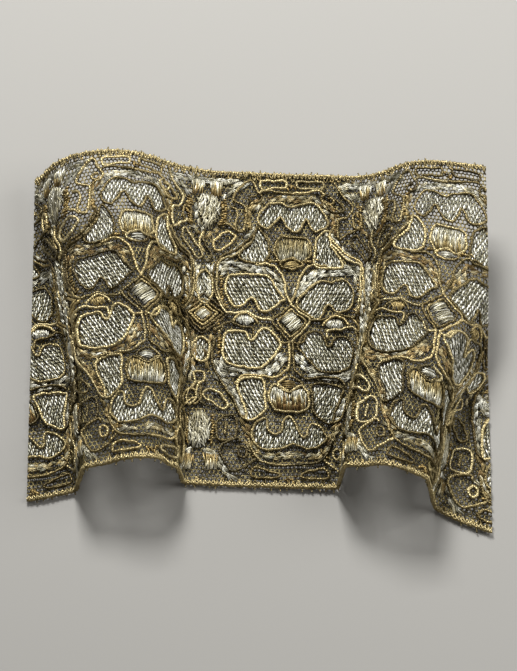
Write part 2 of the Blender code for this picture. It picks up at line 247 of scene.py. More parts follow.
# the metals over tone: 0 silver, 1 gold, 2 brown silk core
silverToBrown = [(0.0, "#D8D7CC"), (0.3, "#CBC19E"), (0.5, "#AE9B6A"), (1.0, "#74572E")]


def metalThread(name, metallic, roughness, windings, shade, grain=1900.0, relief=0.5):
    made = bpy.data.materials.new(name)
    made.use_nodes = True
    tree = made.node_tree
    tone, tint = (
        addNode(tree, "ShaderNodeAttribute", None, "Fac", attribute_name=fact) for fact in ("tone", "tint")
    )
    coords = addNode(tree, "ShaderNodeTexCoord", output="Object")
    half = addNode(tree, "ShaderNodeMath", {0: tone, 1: 0.5}, operation="MULTIPLY")
    base = setRamp(addNode(tree, "ShaderNodeValToRGB", {"Fac": half}), silverToBrown)
    # tarnish drifts over about 4 mm, the painted glints over about 0.5 mm, or 1.4 mm on the smooth cords
    tarnish = addNode(tree, "ShaderNodeTexNoise", {"Vector": coords, "Scale": 240.0, "Detail": 2.0})
    glint = addNode(tree, "ShaderNodeTexNoise", {"Vector": coords, "Scale": grain, "Detail": 1.0})
    # each thread's own brightness, the tarnish and the glints pick from the shade ramp: its darkest stop is
    # painted shade, its palest a painted highlight
    mixed = 0.0
    for source, share in ((tint, 0.55), (tarnish, 0.3), (glint, 0.35)):
        mixed = addNode(tree, "ShaderNodeMath", {0: source, 1: share, 2: mixed}, operation="MULTIPLY_ADD")
    shades = setRamp(addNode(tree, "ShaderNodeValToRGB", {"Fac": mixed}), shade)
    both = {"Factor": 1.0, "A": base, "B": shades}
    colour = addNode(tree, "ShaderNodeMix", both, "Result", data_type="RGBA", blend_type="MULTIPLY")
    ridges = glint
    if windings:  # of the flat strip round its core, drawn about twice as coarse as real so that they show
        turns = 0.0
        for fact, pace in (("along", 2 * math.pi / windings), ("around", 2 * math.pi)):
            way = addNode(tree, "ShaderNodeAttribute", None, "Fac", attribute_name=fact)
            turns = addNode(tree, "ShaderNodeMath", {0: way, 1: pace, 2: turns}, operation="MULTIPLY_ADD")
        ridges = addNode(tree, "ShaderNodeMath", {0: turns}, operation="SINE")
    bump = addNode(tree, "ShaderNodeBump", {"Height": ridges, "Strength": relief, "Distance": 0.1 * mm})
    shader = tree.nodes["Principled BSDF"].inputs
    tree.links.new(colour, shader["Base Color"])
    tree.links.new(bump, shader["Normal"])
    shader["Metallic"].default_value = metallic
    shader["Roughness"].default_value = roughness
    return made


# gilt strip on silk: warm gold, darkened by the noise to a dark olive that is partly tarnish and partly
# painted shadow, and lightened to a painted cream highlight
giltCordMaterial = metalThread(
    "giltStripOnSilkCord", 0.6, 0.34, 0.8 * mm, [(0.25, "#38331F"), (0.5, "#867C5E"), (0.8, "#EAE1C8")],
    grain=700.0, relief=0.45,
)
# silver strip: pale warm grey, each stitch set by its own brightness and the noise between painted shade
# (dark olive-grey) and a painted white highlight
silverStripMaterial = metalThread(
    "silverStripStitches", 0.65, 0.4, 0, [(0.28, "#2E2C22"), (0.5, "#969484"), (0.85, "#FFFFFF")]
)
# floss of fine metal threads side by side: satin, streaked from stitch to stitch by each stitch's own
# brightness, between painted shade and a painted white highlight
satinFlossMaterial = metalThread(
    "metalSatinFloss", 0.75, 0.42, 0, [(0.2, "#3A3528"), (0.5, "#9E9984"), (0.9, "#FFFFFF")]
)
# the net's thin twisted thread: the dullest gold, olive where it has tarnished, its ramp darkened as painted
# shade for the dark ground between the figures, up to a pale painted highlight
netThreadMaterial = metalThread(
    "tarnishedGiltNetThreadPaintedShade", 0.6, 0.42, 0, [(0.2, "#2A2616"), (0.5, "#655E3F"), (0.85, "#DDD5B2")]
)
print("materials ready")


def startTree(name, sizes):
    tree = bpy.data.node_groups.new(name, "GeometryNodeTree")
    tree.interface.new_socket("Geometry", in_out="INPUT", socket_type="NodeSocketGeometry")
    for label, value in sizes.items():
        kind = "NodeSocketInt" if isinstance(value, int) else "NodeSocketFloat"
        tree.interface.new_socket(label, in_out="INPUT", socket_type=kind).default_value = value
    tree.interface.new_socket("Material", in_out="INPUT", socket_type="NodeSocketMaterial")
    tree.interface.new_socket("Geometry", in_out="OUTPUT", socket_type="NodeSocketGeometry")
    return tree, tree.nodes.new("NodeGroupInput").outputs


def endTree(tree, geometry, material):
    whole = addNode(tree, "GeometryNodeRealizeInstances", {"Geometry": geometry})
    shaded = addNode(tree, "GeometryNodeSetShadeSmooth", {"Geometry": whole})
    finished = addNode(tree, "GeometryNodeSetMaterial", {"Geometry": shaded, "Material": material})
    addNode(tree, "NodeGroupOutput", {0: finished})
    return tree


def sewnThreadTree():
    # a thread along each drawn line, wavering and swelling a little
    sizes = {
        "Thickness": 0.65 * mm, "Step": 0.4 * mm, "Sides": 6, "Waver": 0.06 * mm, "Swell": 0.2, "Seed": 3.0,
    }
    tree, given = startTree("sewnThread", sizes)
    line = addNode(tree, "GeometryNodeMeshToCurve", {"Mesh": given["Geometry"]})
    line = addNode(tree, "GeometryNodeResampleCurve", {"Curve": line, "Length": given["Step"]}, mode="LENGTH")
    line = addNode(tree, "GeometryNodeSetCurveNormal", {"Curve": line}, mode="Z_UP")
    spot = addNode(tree, "GeometryNodeInputPosition")
    shifted = addNode(tree, "ShaderNodeVectorMath", {0: spot, 1: given["Seed"]}, operation="ADD")
    noise = addNode(tree, "ShaderNodeTexNoise", {"Vector": shifted, "Scale": 700.0, "Detail": 1.0}, "Color")
    centred = addNode(tree, "ShaderNodeVectorMath", {0: noise, 1: (0.5, 0.5, 0.5)}, operation="SUBTRACT")
    reach = addNode(tree, "ShaderNodeMath", {0: given["Waver"], 1: 4.0}, operation="MULTIPLY")
    waver = addNode(tree, "ShaderNodeVectorMath", {0: centred, "Scale": reach}, operation="SCALE")
    line = addNode(tree, "GeometryNodeSetPosition", {"Geometry": line, "Offset": waver})
    length = addNode(tree, "GeometryNodeSplineParameter", output="Length")
    along = {"Geometry": line, "Name": "along", "Value": length}
    line = addNode(tree, "GeometryNodeStoreNamedAttribute", along)
    swell = addNode(tree, "ShaderNodeTexNoise", {"Vector": shifted, "Scale": 1500.0, "Detail": 0.0})
    for operation, *others in (("SUBTRACT", 0.5), ("MULTIPLY", given["Swell"]), ("MULTIPLY_ADD", 4.0, 1.0)):
        swell = addNode(tree, "ShaderNodeMath", {0: swell, **dict(enumerate(others, 1))}, operation=operation)
    radius = addNode(tree, "ShaderNodeMath", {0: given["Thickness"], 1: 0.5}, operation="MULTIPLY")
    ring = addNode(tree, "GeometryNodeCurvePrimitiveCircle", {"Resolution": given["Sides"], "Radius": radius})
    turn = addNode(tree, "GeometryNodeSplineParameter")
    around = {"Geometry": ring, "Name": "around", "Value": turn}
    ring = addNode(tree, "GeometryNodeStoreNamedAttribute", around)
    tube = {"Curve": line, "Profile Curve": ring, "Scale": swell, "Fill Caps": True}
    return endTree(tree, addNode(tree, "GeometryNodeCurveToMesh", tube), given["Material"])


def seedStitchTree():
    # a short plump stitch or bead on each point, turned and sized by the point's own values
    tree, given = startTree("seedStitch", {"Sides": 6, "Rings": 5, "Fullness": 4.0})
    rod = addNode(tree, "GeometryNodeCurvePrimitiveLine", {"Start": (-0.5, 0, 0), "End": (0.5, 0, 0)})
    rod = addNode(tree, "GeometryNodeResampleCurve", {"Curve": rod, "Count": given["Rings"]})
    share = addNode(tree, "GeometryNodeSplineParameter")
    ends = (
        ("MULTIPLY_ADD", 1.84, -0.92), ("ABSOLUTE",), ("POWER", given["Fullness"]),
        ("MULTIPLY_ADD", -1.0, 1.0),
    )
    for operation, *others in ends:  # one in the middle of the stitch, and small at both ends
        share = addNode(tree, "ShaderNodeMath", {0: share, **dict(enumerate(others, 1))}, operation=operation)
    ring = addNode(tree, "GeometryNodeCurvePrimitiveCircle", {"Resolution": given["Sides"], "Radius": 0.5})
    stitch = {"Curve": rod, "Profile Curve": ring, "Scale": share, "Fill Caps": True}
    bead = addNode(tree, "GeometryNodeCurveToMesh", stitch)
    lean, tip, long, wide, thick = (
        addNode(tree, "GeometryNodeInputNamedAttribute", {"Name": name}, "Attribute")
        for name in ("lean", "tip", "long", "wide", "thick")
    )
    turned = addNode(tree, "ShaderNodeCombineXYZ", {"Y": tip, "Z": lean})
    sized = addNode(tree, "ShaderNodeCombineXYZ", {"X": long, "Y": wide, "Z": thick})
    beads = {"Points": given["Geometry"], "Instance": bead, "Rotation": turned, "Scale": sized}
    return endTree(tree, addNode(tree, "GeometryNodeInstanceOnPoints", beads), given["Material"])


def hexNetTree():
    # one cell's three threads on each point: one upright side and the two slanting ones over it
    sizes = {"Pitch": 1.15 * mm, "Row": 1.1 * mm, "Side": 0.38 * mm, "Thickness": 0.3 * mm}
    tree, given = startTree("hexNet", sizes)
    peak = addNode(tree, "ShaderNodeMath", {0: given["Row"], 1: given["Side"]}, operation="SUBTRACT")
    half, farHalf, farSide, radius = (
        addNode(tree, "ShaderNodeMath", {0: given[size], 1: share}, operation="MULTIPLY")
        for size, share in (("Pitch", 0.5), ("Pitch", -0.5), ("Side", -1.0), ("Thickness", 0.5))
    )
    corners = ((half, farSide), (half, given["Side"]), (0.0, peak), (farHalf, given["Side"]))
    spots = [addNode(tree, "ShaderNodeCombineXYZ", {"X": x, "Y": y}) for x, y in corners]
    joined = addNode(tree, "GeometryNodeJoinGeometry")
    for start, end in zip(spots, spots[1:]):
        side = addNode(tree, "GeometryNodeCurvePrimitiveLine", {"Start": start, "End": end})
        tree.links.new(side, joined.node.inputs[0])
    ring = addNode(tree, "GeometryNodeCurvePrimitiveCircle", {"Resolution": 3, "Radius": radius})
    cell = {"Curve": joined, "Profile Curve": ring, "Fill Caps": False}
    threads = addNode(tree, "GeometryNodeCurveToMesh", cell)
    cells = {"Points": given["Geometry"], "Instance": threads}
    return endTree(tree, addNode(tree, "GeometryNodeInstanceOnPoints", cells), given["Material"])


trees = {"sewnThread": sewnThreadTree(), "seedStitch": seedStitchTree(), "hexNet": hexNetTree()}
print("trees ready")
cutX = band["length"] / 2


def addObject(name, data):
    made = bpy.data.objects.new(name, data)
    bpy.context.scene.collection.objects.link(made)
    return made


def growPiece(name, points, edges, facts, tree, sizes, material):
    # grows the tree on the flat drawing, lays the result in the folds and cuts it off at the ends
    drawing = bpy.data.meshes.new(name + "Drawing")
    drawing.from_pydata((np.asarray(points) * mm).tolist(), edges, [])
    for fact, values in facts.items():
        stored = drawing.attributes.new(fact, "FLOAT", "POINT").data
        stored.foreach_set("value", np.asarray(values, np.float32))
    holder = addObject(name + "Drawing", drawing)
    grown = holder.modifiers.new("grow", "NODES")
    grown.node_group = trees[tree]
    given = {**sizes, "Material": material}
    for item in trees[tree].interface.items_tree:
        if item.in_out == "INPUT" and item.name in given:
            grown[item.identifier] = given[item.name]
    settled = bpy.context.evaluated_depsgraph_get()
    mesh = bpy.data.meshes.new_from_object(
        holder.evaluated_get(settled), preserve_all_data_layers=True, depsgraph=settled
    )
    holder.modifiers.remove(grown)
    bpy.data.objects.remove(holder)
    flat = np.empty(len(mesh.vertices) * 3, np.float32)
    mesh.vertices.foreach_get("co", flat)
    placed = lay(flat.reshape(-1, 3) / mm) * mm
    mesh.vertices.foreach_set("co", placed.astype(np.float32).ravel())
    trimEnds(mesh)
    mesh.name = name
    mesh.update()
    piece = addObject(name, mesh)
    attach(piece, "root")
    print(name, "has", sum(len(p.vertices) - 2 for p in mesh.polygons), "triangles")
    return piece


def trimEnds(mesh, margin=2.0):
    # cuts at both end planes and closes the cut threads
    work = bmesh.new()
    work.from_mesh(mesh)
    for side in (-1, 1):
        far = [v for v in work.verts if v.co.x * side > (cutX + margin) * mm]
        bmesh.ops.delete(work, geom=far, context="VERTS")
        near = [v for v in work.verts if v.co.x * side > (cutX - margin) * mm]
        faces = {f for v in near for f in v.link_faces}
        edges = {e for f in faces for e in f.edges}
        plane = {"plane_co": (side * cutX * mm, 0, 0), "plane_no": (side, 0, 0)}
        cut = bmesh.ops.bisect_plane(work, geom=[*faces, *edges, *near], clear_outer=True, **plane)
        rim = [e for e in cut["geom_cut"] if isinstance(e, bmesh.types.BMEdge) and e.is_boundary]
        bmesh.ops.holes_fill(work, edges=rim, sides=0)
    work.to_mesh(mesh)
    work.free()


# Figures of one motif, charted: (u from the motif's middle line, v from the lower edge)
figures = {
    "heartUpperLeft": (
        (-17.4, 65.7), (-11.6, 66.2), (-7.2, 66), (-4.3, 62.2), (-1.9, 59), (-3.4, 57.8), (-6.4, 54.9),
        (-8.7, 54.9), (-10, 57.5), (-11.3, 58.7), (-12.4, 57.8), (-14.2, 55.8), (-16.5, 56.7), (-18.6, 61.6),
    ),
    "heartUpperRight": (
        (1.6, 57.3), (4.2, 61.3), (7.6, 64.8), (11.2, 64.6), (14.8, 65.6), (17.4, 63.4), (17.9, 60.8),
        (16.4, 56.7), (13, 54.8), (11.2, 56.7), (10.2, 57.5), (9.1, 54.9), (7.6, 52.6), (5, 53.8),
    ),
    "heartLowerLeft": (
        (-18.7, 46.7), (-16.4, 48.1), (-12.8, 48.1), (-10.8, 45.4), (-8.1, 49.4), (-4.6, 47.4), (-2.8, 44.7),
        (-3.4, 42.7), (-7.5, 37.4), (-13.4, 36.8), (-17.5, 38.1), (-19, 41.4),
    ),
    "heartLowerRight": (
        (1.9, 44.7), (4.9, 48.1), (9, 48.1), (10.5, 44.1), (13.1, 47.4), (16.1, 46.8), (17.8, 43.4),
        (17.2, 39.4), (14.9, 36.8), (9, 36.1), (5.5, 38.8), (2.5, 42.7),
    ),
    "crownUpper": (
        (-9.5, 85), (-6.9, 89.1), (-3.3, 89.4), (-0.7, 88.1), (2.1, 89.1), (7.1, 89.5), (10.4, 84.7),
        (10.2, 82.4), (7.1, 80.8), (5.5, 82.1), (4.2, 85), (2.7, 82.1), (0.6, 80.4), (-1.7, 82.4),
        (-3.1, 85.1), (-5.1, 82.7), (-6.9, 81.2), (-9, 82.4),
    ),
    "crownLower": (
        (-10.4, 16.8), (-9.3, 20.1), (-6.9, 21.2), (-5.7, 17), (-2.8, 16.8), (-1.6, 20.8), (-0.4, 22),
        (1.3, 20.1), (3.1, 16.2), (4.5, 16.4), (5.5, 19.8), (7.8, 19.5), (9.9, 16.2), (9, 14.2),
        (5.5, 12.2), (0.8, 13.5), (-2.8, 12.2), (-7.5, 11.8), (-9.9, 14.2),
    ),
    "blockUpper": (
        (-3.3, 78.6), (-0.2, 78.7), (4.5, 78.3), (5.5, 75.1), (5.2, 72.7), (2.7, 70.7), (0.3, 72),
        (-2.8, 70.8), (-4.6, 73.3), (-4.6, 76.5),
    ),
    "blockLower": (
        (-5.7, 30.1), (-4, 31.8), (-0.4, 29.5), (2.5, 31.8), (4.6, 29.5), (4.6, 24.5), (-0.4, 23.3),
        (-4.6, 24.2), (-5.8, 26.8),
    ),
    "wedgeUpperLeft": (
        (-9.8, 81.3), (-7.7, 79.1), (-6.4, 75.6), (-6.9, 71.3), (-10, 70), (-13.9, 70.7), (-15, 72.7),
        (-11.3, 76.8),
    ),
    "wedgeUpperRight": (
        (10.9, 81), (7.6, 78.9), (6.9, 75.1), (6.6, 69.6), (10.7, 69.1), (14.6, 69.5), (13.8, 72.5),
        (11.5, 76.2),
    ),
    "wedgeLowerLeft": (
        (-14, 33.1), (-7.8, 33.5), (-7.2, 28.1), (-7.4, 23.8), (-11.6, 20.4), (-12.5, 24.2), (-14.6, 30.1),
    ),
    "wedgeLowerRight": (
        (6.2, 32.1), (14.3, 31.4), (13.7, 28.8), (12, 23.5), (10.8, 20), (6.6, 23.5), (6, 28.1),
    ),
}
# Cords of the left half repeat, from the motif's middle line to the interval's; the right half mirrors them
halfCords = {
    "archUpper": ((0, 93), (-4.6, 93.2), (-7.8, 93.8), (-9.6, 92.7)),
    "scrollUpper": (
        (-9.6, 92.7), (-8.8, 91.6), (-9.4, 90.2), (-10.7, 89.6), (-12.1, 90.1), (-12.3, 91.1), (-11.3, 91.7),
        (-10.3, 91.8),
    ),
    "leafUpper": (
        (-18, 87.6), (-16.4, 87.2), (-15.6, 84.8), (-16.3, 81.8), (-15.1, 79.9), (-13.6, 80.6), (-13.2, 87.6),
        (-16.9, 90.4), (-12.2, 96.6), (-9.6, 92.7),
    ),
    "leafStem": ((-19, 82.6), (-17.4, 81.6), (-15.8, 80)),
    "sideUpper": ((-11.6, 76.6), (-16.3, 72.3), (-20.2, 70.5), (-20.8, 66), (-20.8, 60), (-18.6, 55.4)),
    "sideOuter": ((-10.6, 79.4), (-15.6, 74.2), (-19.8, 71.8), (-21.8, 67), (-21.7, 60.6), (-20, 56.4)),
    "hookUpper": ((-24.9, 80.3), (-25.2, 76.6), (-23.1, 72.6), (-23.4, 69.6), (-24.4, 70)),
    "wedgeTail": ((-10, 69.6), (-6.3, 70), (-4, 68.6), (-2.2, 65.4), (-1.3, 60.7), (0.2, 57.3)),
    "eyeTop": ((-21.4, 59.3), (-18.4, 54), (-15.8, 53.8), (-12.2, 54.3), (-9.3, 52.7), (-5.1, 52)),
    "eyeBelow": ((-21.6, 48), (-17.5, 50.7), (-14, 49.8), (-10.7, 49.3), (-10.3, 46.7)),
    "frameUpper": ((0.2, 57.4), (-2.8, 54.6), (-5.4, 52), (-2.6, 48), (-0.2, 45.4)),
    "frameInner": ((0, 55.9), (-2.2, 53.6), (-4, 51.8), (-2, 48.8), (-0.1, 46.8)),
    "heartTailLower": ((-0.2, 45.4), (-3, 44.9), (-4.4, 47.2)),
    "centreLower": (
        (-0.5, 45.4), (-0.6, 38.1), (-1.6, 36.1), (-4.6, 33.9), (-7.5, 34.4), (-13.4, 34.2), (-15.4, 31.4),
    ),
    "lensUpper": ((0.2, 68.2), (-1.8, 68.8), (-3.2, 70), (-1.8, 71.2), (0.2, 71.7)),
    "fanLower": ((-0.4, 34.6), (-2, 33.7), (-3.3, 32.2), (-1.8, 30.9), (-0.4, 30.2)),
    "sideLower": (
        (-19, 49.2), (-21.6, 44.2), (-21.6, 38.1), (-19.4, 32.8), (-15.6, 26.8), (-13.4, 21.6), (-10.9, 20.4),
    ),
    "archLower": ((0, 7), (-4.6, 7.5), (-8.4, 8.5), (-10.4, 11.5), (-11.3, 14.8)),
    "leafLower": (
        (-13.4, 13.8), (-14.6, 14.8), (-19.3, 11.5), (-16.6, 5.5), (-14, 5.2), (-10.7, 7.5), (-9.3, 8.8),
    ),
    "boxBar": ((-17.6, 19.8), (-17.8, 16.1)),
    "eyeLid": ((-16.4, 51.2), (-14.6, 53.2), (-12.2, 53.8), (-10, 52.2), (-9.2, 50.8)),
    "stemLower": ((-24.9, 30.6), (-25.2, 26.4), (-23.2, 24.4)),
}
halfLoops = {
    "loopUpper": ((-8.4, 94), (-9, 96.5), (-5.1, 96.8), (-1.6, 96.9), (-1.9, 94.7), (-5.1, 94.6)),
    "loopLower": ((-10.4, 3.6), (-9.6, 6), (-7, 5.8), (-3.1, 4.3), (-3.4, 3.2), (-7.5, 3)),
    "ellipseUpper": (
        (-22.2, 74), (-22.2, 76.6), (-19.3, 79.6), (-17.2, 79.3), (-16.3, 77.6), (-19.3, 74.4), (-20.8, 73.3),
    ),
    "ellipseLower": (
        (-23.8, 28.6), (-22.2, 29.8), (-19.3, 28.4), (-17.2, 25.4), (-18.4, 23.8), (-21.4, 25.8),
        (-23.7, 26.8),
    ),
    "boxLower": (
        (-19.9, 20.1), (-16.9, 22.1), (-14.9, 20.8), (-14.6, 16.1), (-16.3, 14.5), (-19.6, 14.5),
        (-20.2, 17.5),
    ),
    "ring": ((-12.9, 12.2), (-11.9, 11.4), (-11.8, 9.8), (-12.8, 8.8), (-13.8, 9.6), (-14, 11.3)),
}
# what the right half has in place of a line of the same name, or besides, (u, v) from the same middle line
rightCords = {
    "leafUpper": (
        (19.2, 82.5), (18.7, 81.5), (16.4, 80.5), (14.1, 78.6), (13.4, 79.9), (13.6, 84.7), (16.7, 86.3),
        (17.8, 89.4), (14.6, 93), (12.2, 96.6),
    ),
    "leafStem": ((9.6, 92.7), (12.4, 91.6), (15.4, 88.4), (12, 87.4), (9.8, 90.4)),
    "hookUpper": ((24.6, 79.4), (23.4, 76), (24.6, 73)),
}
rightLoops = {
    "ellipseUpper": (
        (19, 87), (20.2, 86.2), (20.3, 83.4), (19.4, 81.8), (18.2, 82.4), (17.7, 84.6), (18, 86.4),
    ),
    "longLeaf": (
        (17.6, 79), (19.2, 79.4), (21.6, 76.2), (24, 73), (24.2, 71.4), (22.6, 70.8), (20.4, 73.6),
        (17.8, 76.4),
    ),
}
# Loops on the interval's middle line, (u from that line, v)
intervalLoops = {
    "leaf": ((0.4, 67), (2.4, 64.7), (2.6, 60.7), (1.2, 57.2), (-0.8, 57.3), (-2.2, 60.7), (-1.8, 65)),
    "drop": ((-0.6, 45.7), (-2.4, 44.1), (-2.8, 41.4), (-0.6, 38.7), (1.8, 39.1), (2.2, 43.4), (0.8, 45.4)),
    "leafLow": (
        (-4.4, 28.4), (-1.6, 31.4), (-1.8, 34.7), (0.8, 35.1), (1.2, 32.8), (-0.8, 30.6), (-1.2, 26.1),
        (-4, 24.6),
    ),
}

# Laid bands of strands on the left half: the line, how wide, how many strands side by side, and their colour.
# "heart" and "rim" swap silver and gold from one motif to the next, each the other way round.
halfBands = (
    ("heart", 2.8, ((-20, 66.8), (-18.6, 69), (-13.4, 68.5), (-7.5, 67.6), (-4.6, 64.7), (-1.6, 60.6))),
    ("heart", 2.6, ((-20, 38.6), (-18.6, 36), (-11.6, 35), (-6.6, 35.6), (-2.4, 40.6))),
    ("heart", 1.8, ((-10.4, 80.6), (-14.6, 75), (-18.4, 72))),
    ("heart", 1.8, ((-20.2, 34.6), (-15.6, 28.4), (-12.6, 22.6))),
    ("rim", 1.6, ((0, 91.4), (-4, 91.2), (-7.6, 90.6), (-10.6, 88))),
    ("mixed", 1.6, ((0, 10.2), (-4, 10), (-8.6, 10.6), (-10.8, 13))),
    ("silver", 2, ((-12.6, 96), (-16.9, 95.9), (-23.7, 96))),
    ("silver", 1.7, ((-13.4, 95.2), (-16.4, 93.6), (-19.4, 91.8))),
    ("silver", 1.8, ((-22.4, 11), (-19.6, 7.6), (-16.2, 3.4))),
    ("gold", 1.6, ((-9.8, 90.2), (-12.4, 86), (-12.4, 81.6))),
    ("gold", 1.7, ((-13, 21.6), (-11.6, 17), (-10, 13))),
    ("silver", 1.6, ((-24.6, 56.4), (-22.6, 62), (-22.9, 68))),
    ("gold", 1.1, ((-21.2, 49.2), (-23.4, 43), (-22.9, 36))),
    ("gold", 1.2, ((-24.3, 78), (-20.4, 81.4))),
)
# Bands that only the right side has
rightBands = (
    ("silver", 1.6, ((19, 66.5), (20.2, 61), (20, 55.2))),
    ("gold", 1.3, ((21.8, 64), (22.4, 58), (23, 55))),
    ("silver", 1.6, ((20.2, 47), (20.9, 41), (19.4, 35))),
    ("gold", 1.3, ((22.2, 46), (22.8, 39), (21.6, 33))),
    ("silver", 1.4, ((21.6, 87), (22.4, 83.6), (24.4, 80))),
)
# Bands along the folds, over the diamonds there, (u from the interval's line, v)
foldBands = (
    ("silver", 2.2, ((-1, 69), (-0.4, 62), (0.6, 55), (0.2, 48), (-0.8, 40), (-1.4, 32))),
    ("mixed", 1.2, ((1.6, 66), (2.2, 58), (2.6, 52), (1.4, 45), (0.8, 38))),
    ("silver", 1.2, ((-2.6, 60), (-2.4, 54), (-1.8, 48))),
)
# Rows of gold knots on the left half
halfKnots = (
    ((-19.6, 65.4), (-19.6, 58.6), (-17.8, 55.2)),
    ((-20.4, 51.4), (-20.2, 45.4), (-20, 40.2)),
    ((-11, 90), (-13.4, 86.4), (-11.6, 80.8)),
    ((-19.6, 89.8), (-19.2, 86), (-19.8, 81.6)),
    ((-20.4, 89), (-20.1, 85.4), (-20.6, 82.2)),
    ((-21.4, 21.6), (-21.2, 17.4), (-21.6, 13.2)),
    ((-3.4, 70.8), (-7, 71.4)),
    ((-8.4, 12), (-10, 9.6)),
)


def smoothPath(corners, closed, steps=7):
    # a smooth line through all corners
    p = np.array(corners, float)
    p = np.vstack([p[-1:], p, p[:2]] if closed else [2 * p[0] - p[1], p, 2 * p[-1] - p[-2]])
    s = (np.arange(steps) / steps)[:, None]
    path = []
    for before, here, after, later in zip(p, p[1:], p[2:], p[3:]):
        near = 2 * here + (after - before) * s
        bend = (2 * before - 5 * here + 4 * after - later) * s**2
        path.append((near + bend + (3 * here - before - 3 * after + later) * s**3) / 2)
    return np.vstack(path if closed else [*path, p[-2:-1]])


def drawAt(corners, closed, line, side=1):
    # a drawn line at its motif or interval, as drawn or turned over to the other half
    return smoothPath(corners, closed) * (side, 1) + (line, 0)


def evenPath(path, step):
    runs = np.concatenate([[0.0], np.cumsum(np.linalg.norm(np.diff(path, axis=0), axis=1))])
    places = np.linspace(0.0, runs[-1], max(2, int(round(runs[-1] / step)) + 1))
    return np.stack([np.interp(places, runs, path[:, k]) for k in (0, 1)], axis=1)


def shrunk(ring, share):
    middle = ring.mean(axis=0)
    return middle + (ring - middle) * share


def isInside(points, ring):
    x, y = points[:, 0:1], points[:, 1:2]
    x1, y1 = ring[:, 0], ring[:, 1]
    x2, y2 = np.roll(x1, -1), np.roll(y1, -1)
    with np.errstate(divide="ignore", invalid="ignore"):
        crossing = ((y1 > y) != (y2 > y)) & (x < (x2 - x1) * (y - y1) / (y2 - y1) + x1)
    return crossing.sum(axis=1) % 2 == 1


def chords(ring, angle, pitch):
    # the stretches inside the ring of parallel lines at this angle from u
    turn = np.array([[math.cos(angle), math.sin(angle)], [-math.sin(angle), math.cos(angle)]])
    a = ring @ turn.T
    b = np.roll(a, -1, axis=0)
    found = []
    for row in np.arange(a[:, 1].min() + pitch / 2, a[:, 1].max(), pitch):
        cuts = (a[:, 1] > row) != (b[:, 1] > row)
        share = (row - a[cuts, 1]) / (b[cuts, 1] - a[cuts, 1])
        xs = np.sort(a[cuts, 0] + share * (b[cuts, 0] - a[cuts, 0]))
        found += [np.array([[start, row], [end, row]]) @ turn for start, end in zip(xs[::2], xs[1::2])]
    return found


def growSeeds(name, seeds, material, sides=6, rings=5):
    # short stitches as one piece, each (u, v, h, lean, long, wide, thick, tone, tint, tip)
    rows = np.array(seeds)
    rows[:, 4:7] *= mm
    facts = dict(zip(("lean", "long", "wide", "thick", "tone", "tint", "tip"), rows[:, 3:].T))
    return growPiece(name, rows[:, :3], [], facts, "seedStitch", {"Sides": sides, "Rings": rings}, material)


class Threads:
    # sewn lines gathered for one piece
    def __init__(self):
        self.points, self.edges, self.tones, self.tints = [], [], [], []
        self.count = 0

    def add(self, path, heights, tones, tint, closed=False):
        n = len(path)
        self.points.append(np.column_stack([path, np.broadcast_to(heights, n)]))
        self.edges += [(self.count + k, self.count + (k + 1) % n) for k in range(n if closed else n - 1)]
        self.tones.append(np.broadcast_to(tones, n))
        self.tints.append(np.full(n, tint))
        self.count += n

    def grow(self, name, material, sizes):
        facts = {"tone": np.concatenate(self.tones), "tint": np.concatenate(self.tints)}
        return growPiece(name, np.vstack(self.points), self.edges, facts, "sewnThread", sizes, material)


def between(path):
    # which points of the drawing lie between the cut ends, or up to 1 mm outside
    u, v = np.asarray(path, float).T
    return np.abs(place(tucked(u, v), v)[:, 0]) < cutX + 1.0


def reaches(path):
    return between(path).any()


# each motif's middle line and whether its bands are silver, each half's side, and each interval's line
motifs = [(step * band["repeat"], step % 2 == 0) for step in (-2, -1, 0, 1, 2)]
halves = [(line, side, silverMotif) for line, silverMotif in motifs for side in (1, -1)]
intervals = [step * band["repeat"] for step in (-2.5, -1.5, -0.5, 0.5, 1.5)]
foldLines = (intervals[1], intervals[3])  # the intervals that lie in the folds
filled = [
    (name, silverMotif, drawAt(corners, True, line))
    for line, silverMotif in motifs
    for name, corners in figures.items()
]
filled = [figure for figure in filled if reaches(figure[2])]

# gold cords couched round the figures and along the scrolls
cord = {
    "sizes": {"Thickness": 0.8 * mm, "Step": 0.42 * mm, "Sides": 7, "Waver": 0.23 * mm, "Swell": 0.12},
    "height": 0.8,
    "lower": 0.75,
    "onDiamond": 0.6,
}
diamond = {"v": 53.4, "tall": 0.87, "lines": (2.6, 4.2, 5.8, 7.5), "inFolds": (5.8, 7.5)}


def onSide(chart, rightChart, side):
    # the lines of one half: the left's, turned over on the right but for those that the right has of its own
    if side > 0:
        return [(corners, 1) for corners in chart.values()]
    shared = [(corners, -1) for name, corners in chart.items() if name not in rightChart]
    return shared + [(corners, 1) for corners in rightChart.values()]


def makeCords():
    cords = Threads()
    for _, _, ring in filled:
        path = evenPath(np.vstack([ring, ring[:1]]), 0.5)[:-1]
        cords.add(path, cord["height"], 0.62, dice.random(), True)
    for line, side, _ in halves:
        for chart, rightChart, closed in ((halfCords, rightCords, False), (halfLoops, rightLoops, True)):
            for corners, turn in onSide(chart, rightChart, side):
                path = drawAt(corners, closed, line, turn)
                if reaches(path):
                    cords.add(path, cord["lower"], 0.5 + 0.3 * dice.random(), dice.random(), closed)
    for line in intervals:
        for corners in intervalLoops.values():
            path = drawAt(corners, True, line)
            if reaches(path):
                cords.add(path, cord["height"], 0.65, dice.random(), True)
        for size in diamond["inFolds" if line in foldLines else "lines"]:
            tall = size * diamond["tall"]
            ring = np.array([(size, 0), (0, tall), (-size, 0), (0, -tall), (size, 0)])
            path = evenPath(ring, 0.8)[:-1] + (line, diamond["v"])
            if reaches(path):
                cords.add(path, cord["onDiamond"], 0.8, dice.random(), True)
    return cords.grow("giltCords", giltCordMaterial, cord["sizes"])


